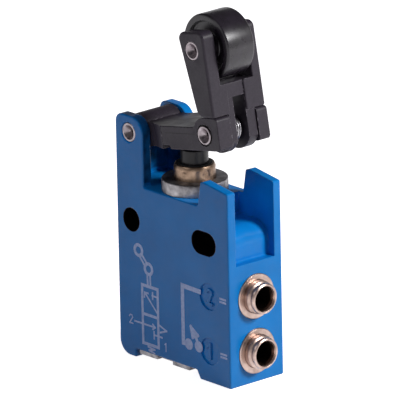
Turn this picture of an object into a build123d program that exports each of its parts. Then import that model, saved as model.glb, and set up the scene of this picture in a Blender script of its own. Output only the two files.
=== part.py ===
from build123d import *
import math
import os

# Miniature 3/2 poppet valve worked by a roller lever with a one-way trip arm.
# Everything is drawn in millimetres from the case's lower front left corner: X runs
# along the front face towards the ports, Y goes back through the case, Z is up.
# The finished pieces are then moved so that the origin lies on the axis of the round
# mounting hole, half way through the case.

# Fits and gaps
press_gap = 0.02            # fixed round fits
slide_gap = 0.05            # turning and sliding fits
seat_gap = 0.1              # faces of moving pieces that meet at a stop
side_gap = 0.15             # cheek beside cheek in the linkage

# Case
case_length = 30.75
case_depth = 13.0
wall_top = 33.4
case_edge = 0.3             # rounding of the long outer edges
toe_radius = 2.8            # lower left corner
arch_start = 4.45  # recess between the feet
right_foot = 9.4            # length of the right foot
arch_height = 1.6
arch_ramp = 0.95            # rounded step beside the right foot

# Mounting holes for M4 screws
hole_x = 4.0
hole_z = 26.55
hole_radius = 2.25
hole_spacing = 20.0
slot_length = 6.6

# Lever ears at the left of the case
ear_length = 7.45
ear_height = 13.0           # above the top of the wall
ear_thickness = 2.0
ear_round = 1.6
ear_inner_round = 3.0
ear_web = 1.5               # thickness of the wall that joins the ears
ear_web_height = 6.4
pivot_x = 3.61
pivot_height = 9.8

# Fork at the right of the case, its heights above the top of the wall
fork_length = 8.3
fork_lean = 0.8             # the left edge leans this far to the right
fork_shoulder = 4.6
fork_peak_back = 6.6        # the peak's distance from the end face
fork_peak = 4.9
fork_end = 3.95  # height at the end face
fork_thickness = 1.8
channel_length = 9.5
channel_depth = 4.05
channel_round = 3.3
end_recess = 1.65           # depth of the recess in the end face
end_ledge_drop = 10.25

# Valve bore
stem_x = 14.5
mid_y = case_depth / 2
lower_bore = 4.25
lower_shoulder = 12.4
chamber_radius = 3.3
upper_shoulder = 18.75
upper_bore = 4.4

# Ports for 4 mm tube
tube_radius = 2.0
tube_gap = 0.05
port_1_z = 6.05
port_2_z = 16.55
port_pocket = 3.92
port_depth = 8.0
port_drill = 1.4
flange_radius = 4.3
flange_height = 0.3
sleeve_wall = 0.4
sleeve_floor = 1.0
port_seal_length = 1.5
lip_length = 1.5
collet_radius = 3.16
collet_reach = 2.65         # the rim stands this far out of the case
collet_travel = 0.8
collet_barb_length = 1.3
rim_radius = 2.95
mouth_radius = 2.4
waist_radius = 2.72

# Port numbers on the front face
badge_back = 5.6            # from the end face
badge_radius = 2.55
badge_depth = 0.3
digit_height = 3.2
digit_stroke = 0.5

# Gland on top of the case
ring_radius = 6.15
ring_height = 2.4
ring_recess = 0.2
ring_shank = 2.4
bush_radius = 3.9
bush_height = 3.0
bush_chamfer = 0.25
bush_shank_radius = 3.2
bush_shank = 4.6
wiper_radius = 3.25
wiper_depth = 0.8
wiper_proud = 0.12

# Plunger and its guide
plunger_radius = 2.6
plunger_dome = 4.0
collar_radius = 3.3
collar_height = 1.8
neck_radius = 1.9
neck_bottom = 17.6
tip_radius = 1.1
tip_bore = 0.6
tip_lift = 0.7              # gap between tip and poppet disc at rest
vent_radius = 0.5
guide_height = 5.25
guide_seal_up = 1.6
plunger_seal_up = 3.4       # above the guide's lower end
seal_section = 0.36
guide_seal_section = 0.5

# Return spring
return_wire = 0.25
return_radius = 2.9
return_turns = 5

# Seat, poppet and bottom plug
seat_bore = 1.5
seat_height = 1.45
seat_lip = 0.3
seat_lip_width = 0.4
disc_radius = 2.3
disc_height = 1.1
disc_proud = 0.3
poppet_radius = 2.9
poppet_height = 2.1
poppet_stem_radius = 1.2
poppet_stem = 2.0
poppet_gap = 0.05
poppet_wire = 0.2
poppet_spring_radius = 1.9
poppet_turns = 4
plug_height = 2.6
plug_groove_height = 1.1
plug_seal_section = 0.48

# Retaining plate in the arch
plate_thickness = 0.8
plate_start = 5.15
plate_clear = 2.4           # from the plate's end to the right foot
plate_notch_start = 10.05
plate_notch_end = 14.35
plate_notch = 1.2
plate_side_gap = 0.35
tongue_width = 5.0
tongue_reach = 3.3
screw_radius = 1.0
screw_head = 1.7
screw_length = 4.6
screw_x = 7.45
screw_spacing = 6.4
screw_slot = 0.4

# Lever
lever_tilt = 10.5  # degrees above level at rest
lever_width = 12.3
lever_under = 2.85  # underside below the pivot
lever_over = 1.5            # top of the broad part above the pivot
hub_radius = 3.05
neck_end = 5.0
flare_end = 9.0
knuckle_beyond = 3.9        # the lever's end beyond the arm's pivot
trip_along = 21.24  # trip arm pivot from the lever pivot
trip_above = 0.1
knuckle_radius = 3.25
knuckle_sweep = 0.8          # room round the legs of the trip arm
knuckle_front = 3.2         # thickness of the front ear
knuckle_back = 2.6
lever_notch = 2.0
lever_notch_height = 0.7
lever_rim = 0.2             # rounding of the moulded edges
lever_pin_radius = 1.8

# Trip arm
arm_front = -0.3
arm_rear = 0.6              # the arm stands this far inside the case's back
front_cheek = 2.8
back_cheek = 2.15
shoulder_before = 0.45  # left of the arm's pivot
shoulder_beyond = 4.0
shoulder_round = 1.9
arm_crown = 3.45            # height above the roller's axis
arm_crown_before = 3.6      # left of the roller's axis
arm_crown_beyond = 3.5
arm_round = 1.35
arm_rim = 0.5               # rounding of the outer edges
arm_inner_rim = 0.25
front_shoulder = 4.2  # the shoulders are thicker than the cheeks
back_shoulder = 4.5
leg_radius = 4.0
leg_before = 2.6
leg_beyond = 3.6
front_leg = 1.4
back_leg = 2.05
web_gap = 6.8               # from the roller's axis down to the web
web_height = 2.75
web_inset = 0.35
web_lip = 0.8               # a low wall at the web's back
trip_pin_radius = 1.2
rivet_head = 1.75
rivet_head_height = 0.5
rivet_proud = 0.2           # the head stands out of the lever's side
counterbore_gap = 0.3
spring_wire = 0.2
spring_clear = 0.8          # between the coil and the pin
spring_turns = 4

# Roller
roller_along = 0.5          # right of the arm's pivot, with the lever level
roller_above = 15.82
roller_radius = 6.2
roller_width = 6.5
roller_hub = 2.6
roller_groove_in = 2.9
roller_groove_out = 4.9
roller_groove = 0.9
roller_edge = 0.35
roller_pin_radius = 1.5

# Heights and places that follow
arch_end = case_length - right_foot
plate_end = arch_end - plate_clear
ear_top = wall_top + ear_height
pivot_z = wall_top + pivot_height
fork_start = case_length - fork_length
fork_peak_x = case_length - fork_peak_back
channel_start = case_length - channel_length
channel_floor = wall_top - channel_depth
end_ledge = wall_top - end_ledge_drop
badge_x = case_length - badge_back
plate_low = arch_height - plate_thickness
plug_top = arch_height + plug_height
seat_low = lower_shoulder - seat_height
disc_top = seat_low - seat_lip - poppet_gap
poppet_top = disc_top - disc_proud
poppet_low = poppet_top - poppet_height
tip_low = disc_top + tip_lift
guide_top = upper_shoulder + guide_height
bush_seat = wall_top + ring_height - ring_recess
bush_top = bush_seat + bush_height
collar_top = bush_seat - bush_shank - seat_gap
collar_low = collar_top - collar_height
tube_bore = tube_radius + tube_gap
tilt = math.radians(lever_tilt)
pin_x = pivot_x + trip_along * math.cos(tilt) - trip_above * math.sin(tilt)
pin_z = pivot_z + trip_along * math.sin(tilt) + trip_above * math.cos(tilt)
lever_front = mid_y - lever_width / 2
lever_back = mid_y + lever_width / 2
slot_front = lever_front + knuckle_front
slot_back = lever_back - knuckle_back
arm_back = case_depth - arm_rear
level_x = pivot_x + trip_along
level_z = pivot_z + trip_above
wheel_x = level_x + roller_along
wheel_z = level_z + roller_above
roller_x = pin_x + roller_along * math.cos(tilt) - roller_above * math.sin(tilt)
roller_z = pin_z + roller_along * math.sin(tilt) + roller_above * math.cos(tilt)
shoulder_z = level_z + knuckle_radius + seat_gap
shoulder_left = level_x - shoulder_before
shoulder_right = level_x + shoulder_beyond
arm_top = wheel_z + arm_crown
arm_top_left = wheel_x - arm_crown_before
arm_top_right = wheel_x + arm_crown_beyond
web_high = wheel_z - web_gap
web_low = web_high - web_height
bore_front = arm_front + front_cheek
bore_back = arm_back - back_cheek
roller_front = (bore_front + bore_back - roller_width) / 2
roller_back = roller_front + roller_width
stem_reach = stem_x - pivot_x
lever_under_z = pivot_z + stem_reach * math.tan(tilt) - lever_under / math.cos(tilt)
plunger_top = lever_under_z - seat_gap - plunger_dome * (1 / math.cos(tilt) - 1)
sleeve_chamber = port_pocket - press_gap - sleeve_wall
port_inner = case_length - port_depth
seal_start = port_inner + sleeve_floor
collet_start = seal_start + port_seal_length + collet_travel + seat_gap
lip_start = case_length + flange_height - lip_length


def rod(radius, start, end):
    """A round bar from one point to another."""
    span = Vector(*end) - Vector(*start)
    return Solid.make_cylinder(radius, span.length, Plane(start, z_dir=span))


def cone(start_radius, end_radius, start, end):
    """A round bar that tapers from one point to another."""
    span = Vector(*end) - Vector(*start)
    return Solid.make_cone(start_radius, end_radius, span.length, Plane(start, z_dir=span))


def block(low, high):
    """A box between two opposite corners."""
    size = Vector(*high) - Vector(*low)
    return Solid.make_box(size.X, size.Y, size.Z, Plane(low))


def stem_rod(radius, low, high):
    """A round bar on the valve's vertical axis."""
    return rod(radius, (stem_x, mid_y, low), (stem_x, mid_y, high))


def stem_tube(outer, inner, low, high):
    """A ring on the valve's vertical axis."""
    return stem_rod(outer, low, high) - stem_rod(inner, low, high)


def cross_rod(radius, x, z, front, back):
    """A round bar that runs straight back through the case."""
    return rod(radius, (x, front, z), (x, back, z))


def plate(corners, front, back, front_rim=0, back_rim=0):
    """A flat plate between two depths, its corners given as x, z and rounding radius.

    The rims are the rounding of the edges all round its front and back faces.
    """
    points = [Vector(x, front, z) for x, z, radius in corners]
    entries = []
    exits = []
    middles = []
    for i, (x, z, radius) in enumerate(corners):
        back_way = (points[i - 1] - points[i]).normalized()
        on_way = (points[(i + 1) % len(points)] - points[i]).normalized()
        half = math.acos(back_way.dot(on_way)) / 2
        entries.append(points[i] + back_way * (radius / math.tan(half)))
        exits.append(points[i] + on_way * (radius / math.tan(half)))
        inward = (back_way + on_way).normalized()
        middles.append(points[i] + inward * (radius / math.sin(half) - radius))
    edges = []
    for i, (x, z, radius) in enumerate(corners):
        if radius > 0:
            edges.append(Edge.make_three_point_arc(entries[i], middles[i], exits[i]))
        next_entry = entries[(i + 1) % len(points)]
        if (next_entry - exits[i]).length > 0.001:
            edges.append(Edge.make_line(exits[i], next_entry))
    body = Solid.extrude(Face(Wire(edges)), Vector(0, back - front, 0))
    for y, rim in ((front, front_rim), (back, back_rim)):
        if rim > 0:
            body = body.fillet(rim, [edge for edge in body.edges() if is_at_depth(edge, y)])
    return body


def is_at_depth(edge, y):
    """Whether an edge lies wholly in the plane at one depth."""
    box = edge.bounding_box()
    return abs(box.min.Y - y) < 0.01 and abs(box.max.Y - y) < 0.01


def turned(profile, start, direction):
    """A lathe-turned piece: its profile is a list of distance along the axis and radius."""
    plane = Plane(start, x_dir=direction, z_dir=(0, 1, 0))
    points = [plane.from_local_coords(Vector(along, radius, 0)) for along, radius in profile]
    face = Face(Wire.make_polygon(points, close=True))
    return Solid.revolve(face, 360, Axis(start, direction))


def o_ring(section, mean_radius, height):
    """A rubber ring of round section on the valve's vertical axis."""
    return Solid.make_torus(mean_radius, section, Plane((stem_x, mid_y, height)))


def spring(mean_radius, wire, turns, start, end):
    """A coil spring, its wire kept between the two given points."""
    span = Vector(*end) - Vector(*start)
    length = span.length - 2 * wire
    foot = Vector(*start) + span.normalized() * wire
    path = Helix(pitch=length / turns, height=length, radius=mean_radius)
    path = Plane(foot, z_dir=span).from_local_coords(path)
    section = Plane(path @ 0, z_dir=path % 0) * Circle(wire)
    return sweep(section, path=path).solid()


def hollow_rivet(radius, x, z, front, back, bore, head_radius, head_height):
    """A tubular pin with a flared head at each end and a funnel in each head."""
    body = cross_rod(radius, x, z, front, back)
    body += cross_rod(head_radius, x, z, front, front + head_height)
    body += cross_rod(head_radius, x, z, back - head_height, back)
    body -= cross_rod(bore, x, z, front, back)
    funnel = head_radius * 0.78
    body -= cone(funnel, bore, (x, front, z), (x, front + 2 * head_height, z))
    body -= cone(funnel, bore, (x, back, z), (x, back - 2 * head_height, z))
    return body


def case_outline():
    """The case's side, with the lever ears at the left and the fork at the right."""
    return [
        (0, 0, toe_radius),
        (arch_start, 0, 0.3),
        (arch_start, arch_height, 0.3),
        (arch_end, arch_height, 0.4),
        (arch_end + arch_ramp, 0, 0.3),
        (case_length, 0, 0.3),
        (case_length, wall_top + fork_end, 0.4),
        (fork_peak_x, wall_top + fork_peak, 0.5),
        (fork_start + fork_lean, wall_top + fork_shoulder, 0.3),
        (fork_start, wall_top, 0.5),
        (ear_length, wall_top, 0.5),
        (ear_length, ear_top, ear_inner_round),
        (0, ear_top, ear_round),
    ]


def fork_channel():
    """The space between the fork's walls, which runs down into the end face."""
    above = ear_top
    beyond = case_length + 1
    corners = [
        (channel_start, above, 0),
        (channel_start, channel_floor, 0.5),
        (case_length - end_recess, channel_floor, channel_round),
        (case_length - end_recess, end_ledge, 0.4),
        (beyond, end_ledge, 0),
        (beyond, above, 0),
    ]
    return plate(corners, fork_thickness, case_depth - fork_thickness)


def mounting_cuts():
    """The round hole and the slot that take the two mounting screws."""
    cut = cross_rod(hole_radius, hole_x, hole_z, -1, case_depth + 1)
    half = slot_length / 2 - hole_radius
    for side in (-1, 1):
        x = hole_x + hole_spacing + side * half
        cut += cross_rod(hole_radius, x, hole_z, -1, case_depth + 1)
    middle = hole_x + hole_spacing
    low = (middle - half, -1, hole_z - hole_radius)
    high = (middle + half, case_depth + 1, hole_z + hole_radius)
    return cut + block(low, high)


def port_cut(z):
    """A pocket for the port's sleeve and the drilled way on into the valve bore."""
    pocket = rod(port_pocket, (port_inner, mid_y, z), (case_length + 1, mid_y, z))
    return pocket + rod(port_drill, (stem_x, mid_y, z), (port_inner, mid_y, z))


def digit_one(z):
    """A raised 1 of even stroke, centred in its round recess."""
    half = digit_height / 2
    left = badge_x - digit_stroke / 2
    right = badge_x + digit_stroke / 2
    flag = digit_stroke * 1.6
    corners = [
        (left, z - half, 0),
        (right, z - half, 0),
        (right, z + half, 0),
        (left, z + half, 0),
        (left - flag, z + half - flag, 0),
        (left - flag, z + half - flag - digit_stroke, 0),
        (left, z + half - flag, 0),
    ]
    return plate(corners, 0, badge_depth)


def digit_two(z):
    """A raised 2 of even stroke, centred in its round recess."""
    half = digit_height / 2
    bowl = digit_height * 0.29
    top = z + half - bowl
    ring = cross_rod(bowl, badge_x, top, 0, badge_depth)
    ring -= cross_rod(bowl - digit_stroke, badge_x, top, 0, badge_depth)
    ring -= block((badge_x - 2 * bowl, 0, top - 2 * bowl), (badge_x + 2 * bowl, badge_depth, top))
    foot = z - half
    base = block((badge_x - bowl, 0, foot), (badge_x + bowl, badge_depth, foot + digit_stroke))
    slant = [
        (badge_x - bowl, foot, 0),
        (badge_x - bowl + digit_stroke * 1.5, foot, 0),
        (badge_x + bowl, top, 0),
        (badge_x + bowl - digit_stroke, top, 0),
    ]
    return ring + base + plate(slant, 0, badge_depth)


def badge_cut(z, digit):
    """A round recess in the front face, less the number that stands up in it."""
    return cross_rod(badge_radius, badge_x, z, -1, badge_depth) - digit(z)


def plate_seat():
    """The slit in the right foot that takes the plate's tongue, and its screw holes."""
    half = tongue_width / 2 + side_gap
    slit_low = (arch_end - 1, mid_y - half, plate_low - seat_gap)
    slit_high = (plate_end + tongue_reach + side_gap, mid_y + half, arch_height)
    cut = block(slit_low, slit_high)
    for y in screw_places():
        cut += rod(screw_radius, (screw_x, y, 0), (screw_x, y, plate_low + screw_length))
    return cut


def screw_places():
    """Depths of the two plate screws."""
    return (mid_y - screw_spacing / 2, mid_y + screw_spacing / 2)


def make_body():
    """The die-cast case."""
    body = plate(case_outline(), 0, case_depth, case_edge, case_edge)
    gap_high = (ear_length + 1, case_depth - ear_thickness, ear_top + 1)
    body -= block((ear_web, ear_thickness, wall_top), gap_high)
    over_web = (-1, ear_thickness, wall_top + ear_web_height)
    body -= block(over_web, (ear_web + 1, case_depth - ear_thickness, ear_top + 1))
    body -= fork_channel()
    body -= mounting_cuts()
    body -= cross_rod(lever_pin_radius + press_gap, pivot_x, pivot_z, -1, case_depth + 1)
    mouth = 0.2
    wide = lever_pin_radius + press_gap + mouth
    narrow = lever_pin_radius + press_gap
    body -= cone(wide, narrow, (pivot_x, 0, pivot_z), (pivot_x, mouth, pivot_z))
    rear = case_depth
    body -= cone(wide, narrow, (pivot_x, rear, pivot_z), (pivot_x, rear - mouth, pivot_z))
    body -= stem_rod(lower_bore, 0, lower_shoulder)
    body -= stem_rod(chamber_radius, lower_shoulder, upper_shoulder)
    body -= stem_rod(upper_bore, upper_shoulder, wall_top + 1)
    body -= port_cut(port_1_z)
    body -= port_cut(port_2_z)
    body -= badge_cut(port_1_z, digit_one)
    body -= badge_cut(port_2_z, digit_two)
    body -= plate_seat()
    return body


def make_lever_pivot_pin():
    """The hollow steel pin that carries the lever in the case's ears."""
    pin = cross_rod(lever_pin_radius, pivot_x, pivot_z, seat_gap, case_depth - seat_gap)
    bore = 0.95
    pin -= cross_rod(bore, pivot_x, pivot_z, 0, case_depth)
    mouth = lever_pin_radius * 0.78
    deep = 1.0
    front = seat_gap
    rear = case_depth - seat_gap
    pin -= cone(mouth, bore, (pivot_x, front, pivot_z), (pivot_x, front + deep, pivot_z))
    pin -= cone(mouth, bore, (pivot_x, rear, pivot_z), (pivot_x, rear - deep, pivot_z))
    return pin


def make_gland_ring():
    """The nickel-plated ring that closes the upper bore."""
    chamfer = 0.25
    top = wall_top + ring_height
    profile = [
        (-ring_shank, bush_shank_radius + press_gap),
        (-ring_shank, upper_bore - press_gap),
        (0, upper_bore - press_gap),
        (0, ring_radius),
        (ring_height - chamfer, ring_radius),
        (ring_height, ring_radius - chamfer),
        (ring_height, bush_radius + press_gap),
        (ring_height - ring_recess, bush_radius + press_gap),
        (ring_height - ring_recess, bush_shank_radius + press_gap),
    ]
    ring = turned(profile, (stem_x, mid_y, top - ring_height), (0, 0, 1))
    return ring


def make_plunger_bush():
    """The brass bush that guides the plunger's head."""
    bore = plunger_radius + slide_gap
    profile = [
        (-bush_shank, bore),
        (-bush_shank, bush_shank_radius),
        (0, bush_shank_radius),
        (0, bush_radius),
        (bush_height - 3 * bush_chamfer, bush_radius),
        (bush_height, bush_radius - bush_chamfer),
        (bush_height, wiper_radius),
        (bush_height - wiper_depth, wiper_radius),
        (bush_height - wiper_depth, bore),
    ]
    return turned(profile, (stem_x, mid_y, bush_seat), (0, 0, 1))


def make_plunger_wiper():
    """The rubber ring that keeps dust out of the bush."""
    low = bush_top - wiper_depth + press_gap
    high = bush_top + wiper_proud
    return stem_tube(wiper_radius - press_gap, plunger_radius + slide_gap, low, high)


def make_plunger():
    """The plunger: domed head, collar, sealed neck and a hollow tip."""
    ball = Solid.make_sphere(plunger_dome, Plane((stem_x, mid_y, plunger_top - plunger_dome)))
    rim = plunger_top - plunger_dome + math.sqrt(plunger_dome**2 - plunger_radius**2)
    dome = stem_rod(plunger_radius, collar_top, plunger_top) & ball
    head = stem_rod(plunger_radius, collar_top, rim) + dome
    body = head + stem_rod(collar_radius, collar_low, collar_top)
    body += stem_rod(neck_radius, neck_bottom, collar_low)
    body += stem_rod(tip_radius, tip_low, neck_bottom)
    vent_z = guide_top + 1.3
    body -= stem_rod(tip_bore, tip_low, vent_z)
    left = (stem_x - neck_radius, mid_y, vent_z)
    body -= rod(vent_radius, left, (stem_x + neck_radius, mid_y, vent_z))
    seal_z = upper_shoulder + plunger_seal_up
    groove = seal_section + press_gap
    inner = neck_radius + slide_gap - 2 * groove
    body -= stem_tube(neck_radius + 1, inner, seal_z - groove, seal_z + groove)
    return body


def make_plunger_seal():
    """The rubber ring in the plunger's neck."""
    groove = seal_section + press_gap
    mean = neck_radius + slide_gap - groove
    return o_ring(seal_section, mean, upper_shoulder + plunger_seal_up)


def make_plunger_guide():
    """The sleeve in the middle of the bore that the plunger's neck slides in."""
    outer = upper_bore - press_gap
    guide = stem_tube(outer, neck_radius + slide_gap, upper_shoulder, guide_top)
    groove = guide_seal_section + press_gap
    seal_z = upper_shoulder + guide_seal_up
    guide -= stem_tube(upper_bore + 1, upper_bore - 2 * groove, seal_z - groove, seal_z + groove)
    return guide


def make_guide_seal():
    """The rubber ring around the guide."""
    groove = guide_seal_section + press_gap
    return o_ring(guide_seal_section, upper_bore - groove, upper_shoulder + guide_seal_up)


def make_return_spring():
    """The spring that lifts the plunger and the lever."""
    low = (stem_x, mid_y, guide_top + press_gap)
    high = (stem_x, mid_y, collar_low - press_gap)
    return spring(return_radius, return_wire, return_turns, low, high)


def make_valve_seat():
    """The brass seat, with a narrow lip that the rubber disc closes on."""
    lip_outer = seat_bore + seat_lip_width
    profile = [
        (0, seat_bore),
        (-seat_height - seat_lip, seat_bore),
        (-seat_height - seat_lip, lip_outer),
        (-seat_height, lip_outer + seat_lip),
        (-seat_height, lower_bore - press_gap),
        (0, lower_bore - press_gap),
    ]
    return turned(profile, (stem_x, mid_y, lower_shoulder), (0, 0, 1))


def make_poppet():
    """The brass poppet that carries the disc."""
    body = stem_rod(poppet_radius, poppet_low, poppet_top)
    body += stem_rod(poppet_stem_radius, poppet_low - poppet_stem, poppet_low)
    disc_low = disc_top - disc_height
    return body - stem_rod(disc_radius + press_gap, disc_low, poppet_top)


def make_poppet_disc():
    """The rubber disc that closes the seat."""
    return stem_rod(disc_radius, disc_top - disc_height, disc_top)


def make_poppet_spring():
    """The spring that holds the poppet shut."""
    low = (stem_x, mid_y, plug_top + press_gap)
    high = (stem_x, mid_y, poppet_low - press_gap)
    return spring(poppet_spring_radius, poppet_wire, poppet_turns, low, high)


def make_bottom_plug():
    """The plug that closes the lower bore, with a groove for its seal."""
    outer = lower_bore - press_gap
    plug = stem_rod(outer, arch_height, plug_top)
    plug -= stem_rod(poppet_stem_radius + 0.3, plug_top - 1, plug_top)
    middle = (arch_height + plug_top) / 2
    inner = lower_bore - 2 * (plug_seal_section + press_gap)
    half = plug_groove_height / 2
    return plug - stem_tube(lower_bore + 1, inner, middle - half, middle + half)


def make_bottom_plug_seal():
    """The rubber ring around the plug."""
    middle = (arch_height + plug_top) / 2
    return o_ring(plug_seal_section, lower_bore - plug_seal_section - press_gap, middle)


def make_retaining_plate():
    """The nickel-plated plate in the arch that holds the plug in."""
    front = plate_side_gap
    rear = case_depth - plate_side_gap
    body = block((plate_start, front, plate_low), (plate_end, rear, arch_height))
    for low, high in ((front - 1, front + plate_notch), (rear - plate_notch, rear + 1)):
        body -= block((plate_notch_start, low, plate_low), (plate_notch_end, high, arch_height))
    half = tongue_width / 2
    tongue_end = plate_end + tongue_reach
    body += block((plate_end, mid_y - half, plate_low), (tongue_end, mid_y + half, arch_height))
    for y in screw_places():
        wide = screw_head + press_gap
        narrow = screw_radius + press_gap
        body -= cone(wide, narrow, (screw_x, y, plate_low), (screw_x, y, arch_height))
    return body


def make_plate_screws():
    """The two countersunk screws that hold the plate's free end."""
    screws = []
    for y in screw_places():
        body = cone(screw_head, screw_radius, (screw_x, y, plate_low), (screw_x, y, arch_height))
        shank = screw_radius - press_gap
        top = plate_low + screw_length - seat_gap
        body += rod(shank, (screw_x, y, arch_height), (screw_x, y, top))
        half = screw_slot / 2
        low = (screw_x - screw_head, y - half, plate_low)
        high = (screw_x + screw_head, y + half, plate_low + screw_slot)
        screws.append(body - block(low, high))
    return Compound(screws)


def make_port_sleeve(z):
    """The nickel-plated brass sleeve pressed into the case for one port."""
    chamber = sleeve_chamber
    lip = collet_radius + slide_gap
    outer = port_pocket - press_gap
    end = case_length + flange_height
    profile = [
        (port_inner, port_drill),
        (port_inner, outer),
        (case_length, outer),
        (case_length, flange_radius),
        (end - flange_height / 2, flange_radius),
        (end, flange_radius - flange_height / 2),
        (end, lip),
        (lip_start, lip),
        (lip_start, chamber),
        (seal_start, chamber),
        (seal_start, port_drill),
    ]
    return turned(profile, (0, mid_y, z), (1, 0, 0))


def make_port_seal(z):
    """The rubber ring that seals on the tube."""
    outer = sleeve_chamber - press_gap
    start = seal_start + press_gap
    end = seal_start + port_seal_length
    bore = rod(tube_bore, (start, mid_y, z), (end, mid_y, z))
    return rod(outer, (start, mid_y, z), (end, mid_y, z)) - bore


def make_port_collet(z):
    """The push-in collet: gripping fingers inside, a rolled rim outside."""
    end = case_length + collet_reach
    barb_end = lip_start - seat_gap
    barb_start = barb_end - collet_barb_length
    barb_radius = sleeve_chamber - slide_gap
    roll = end - rim_radius * 0.16
    profile = [
        (collet_start, tube_bore),
        (collet_start, collet_radius - 0.25),
        (barb_start, collet_radius - 0.25),
        (barb_start, barb_radius),
        (barb_end, barb_radius),
        (barb_end, collet_radius),
        (end - 1.45, collet_radius),
        (end - 1.3, collet_radius - 0.15),
        (end - 1.1, waist_radius),
        (end - 0.85, waist_radius),
        (end - 0.65, rim_radius - 0.06),
        (roll, rim_radius),
        (end - 0.15, rim_radius - 0.08),
        (end, rim_radius - 0.3),
        (end, mouth_radius + 0.12),
        (end - 0.12, mouth_radius),
        (end - 0.9, tube_bore),
    ]
    body = turned(profile, (0, mid_y, z), (1, 0, 0))
    slit = 0.25
    slit_end = barb_start - 0.2
    for corner in ((slit, 2 * collet_radius), (2 * collet_radius, slit)):
        low = (collet_start, mid_y - corner[0], z - corner[1])
        high = (slit_end, mid_y + corner[0], z + corner[1])
        body -= block(low, high)
    return body


def lever_level():
    """The lever drawn level, before it is tilted about its pivot."""
    hub_front = ear_thickness + side_gap
    hub_back = case_depth - ear_thickness - side_gap
    low = pivot_z - lever_under
    high = pivot_z + lever_over
    broad = pivot_x + flare_end
    narrow = pivot_x + neck_end
    pin_at = (pivot_x + trip_along, pivot_z + trip_above)
    hub = cross_rod(hub_radius, pivot_x, pivot_z, hub_front, hub_back)
    neck = [
        (pivot_x, low, 0),
        (broad + 1, low, 0),
        (broad + 1, high, 0),
        (pivot_x, high, 0),
    ]
    body = hub + plate(neck, hub_front, hub_back)
    flare = Wire.make_polygon(
        [
            (narrow, hub_front, low),
            (broad, lever_front, low),
            (broad, lever_back, low),
            (narrow, hub_back, low),
        ],
        close=True,
    )
    body += Solid.extrude(Face(flare), Vector(0, 0, high - low))
    end = pin_at[0] + knuckle_beyond
    rise = math.pi - math.asin((lever_over - trip_above) / knuckle_radius)
    middle = rise / 2 + math.pi / 4
    apex = knuckle_radius / math.cos(rise / 2 - math.pi / 4)
    bar = [
        (broad, low + lever_notch_height, 0),
        (broad + lever_notch, low + lever_notch_height, 0.25),
        (broad + lever_notch, low, 0.35),
        (end, low, 0.8),
        (end, pin_at[1] + knuckle_radius, 0.8),
        (pin_at[0] + apex * math.cos(middle), pin_at[1] + apex * math.sin(middle), knuckle_radius),
        (pin_at[0] + knuckle_radius * math.cos(rise), high, 0),
        (broad, high, 0),
    ]
    body += plate(bar, lever_front, lever_back, lever_rim, lever_rim)
    sweep_radius = leg_radius + knuckle_sweep
    body -= cross_rod(sweep_radius, *pin_at, slot_front, slot_back)
    gap_low = (pin_at[0], slot_front, pivot_z - 2 * hub_radius)
    gap_high = (2 * case_length, slot_back, pivot_z + 3 * hub_radius)
    body -= block(gap_low, gap_high)
    body -= cross_rod(lever_pin_radius + slide_gap, pivot_x, pivot_z, 0, case_depth)
    body -= cross_rod(trip_pin_radius + press_gap, *pin_at, 0, case_depth)
    recess = rivet_head + counterbore_gap
    deep = rivet_head_height - rivet_proud
    body -= cross_rod(recess, *pin_at, lever_front - 1, lever_front + deep)
    body -= cross_rod(recess, *pin_at, lever_back - deep, lever_back + 1)
    return body


def make_lever():
    """The moulded lever, resting tilted up on the plunger."""
    return lever_level().rotate(Axis((pivot_x, 0, pivot_z), (0, 1, 0)), -lever_tilt)


def make_trip_arm_pin():
    """The hollow rivet that carries the trip arm in the lever's ears."""
    front = lever_front - rivet_proud
    back = lever_back + rivet_proud
    return hollow_rivet(trip_pin_radius, pin_x, pin_z, front, back, 0.7, rivet_head, rivet_head_height)


def make_trip_spring():
    """The small torsion spring that stands the trip arm up again."""
    leg_back = slot_front + side_gap + front_leg
    far_leg = slot_back - side_gap - back_leg
    mean = trip_pin_radius + spring_wire + spring_clear
    start = (pin_x, leg_back + side_gap, pin_z)
    end = (pin_x, far_leg - side_gap, pin_z)
    return spring(mean, spring_wire, spring_turns, start, end)


def arm_right(z):
    """The arm's right edge at one height, a straight line from shoulder to top."""
    share = (z - shoulder_z) / (arm_top - shoulder_z)
    return shoulder_right + (arm_top_right - shoulder_right) * share


def arm_left(z):
    """The arm's left edge at one height."""
    share = (z - shoulder_z) / (arm_top - shoulder_z)
    return shoulder_left + (arm_top_left - shoulder_left) * share


def arm_cheek(front, back, front_rim, back_rim):
    """One of the arm's two outer cheeks."""
    corners = [
        (shoulder_left, shoulder_z, shoulder_round),
        (shoulder_right, shoulder_z, 0.3),
        (arm_top_right, arm_top, arm_round),
        (arm_top_left, arm_top, arm_round),
    ]
    return plate(corners, front, back, front_rim, back_rim)


def arm_shoulder(front, back, front_rim, back_rim):
    """The thick foot of a cheek, which rests on the lever's ear."""
    corners = [
        (shoulder_left, shoulder_z, shoulder_round),
        (shoulder_right, shoulder_z, 0.3),
        (arm_right(web_high), web_high, 0),
        (arm_left(web_high) + 1.5, web_high, 0),
    ]
    return plate(corners, front, back, front_rim, back_rim)


def arm_leg(front, back):
    """A leg that carries the arm on its pin, round at the bottom."""
    left = level_x - leg_before
    right = level_x + leg_beyond
    corners = [
        (left, level_z, 0),
        (right, level_z, 0),
        (right, web_low + 0.5, 0),
        (arm_left(web_low) + web_inset, web_low + 0.5, 0),
        (left, level_z + leg_before, 0.5),
    ]
    foot = cross_rod(leg_radius, level_x, level_z, front, back)
    foot &= block((left, front - 1, level_z - 2 * leg_radius), (right, back + 1, level_z + 0.1))
    return plate(corners, front, back) + foot


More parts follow.
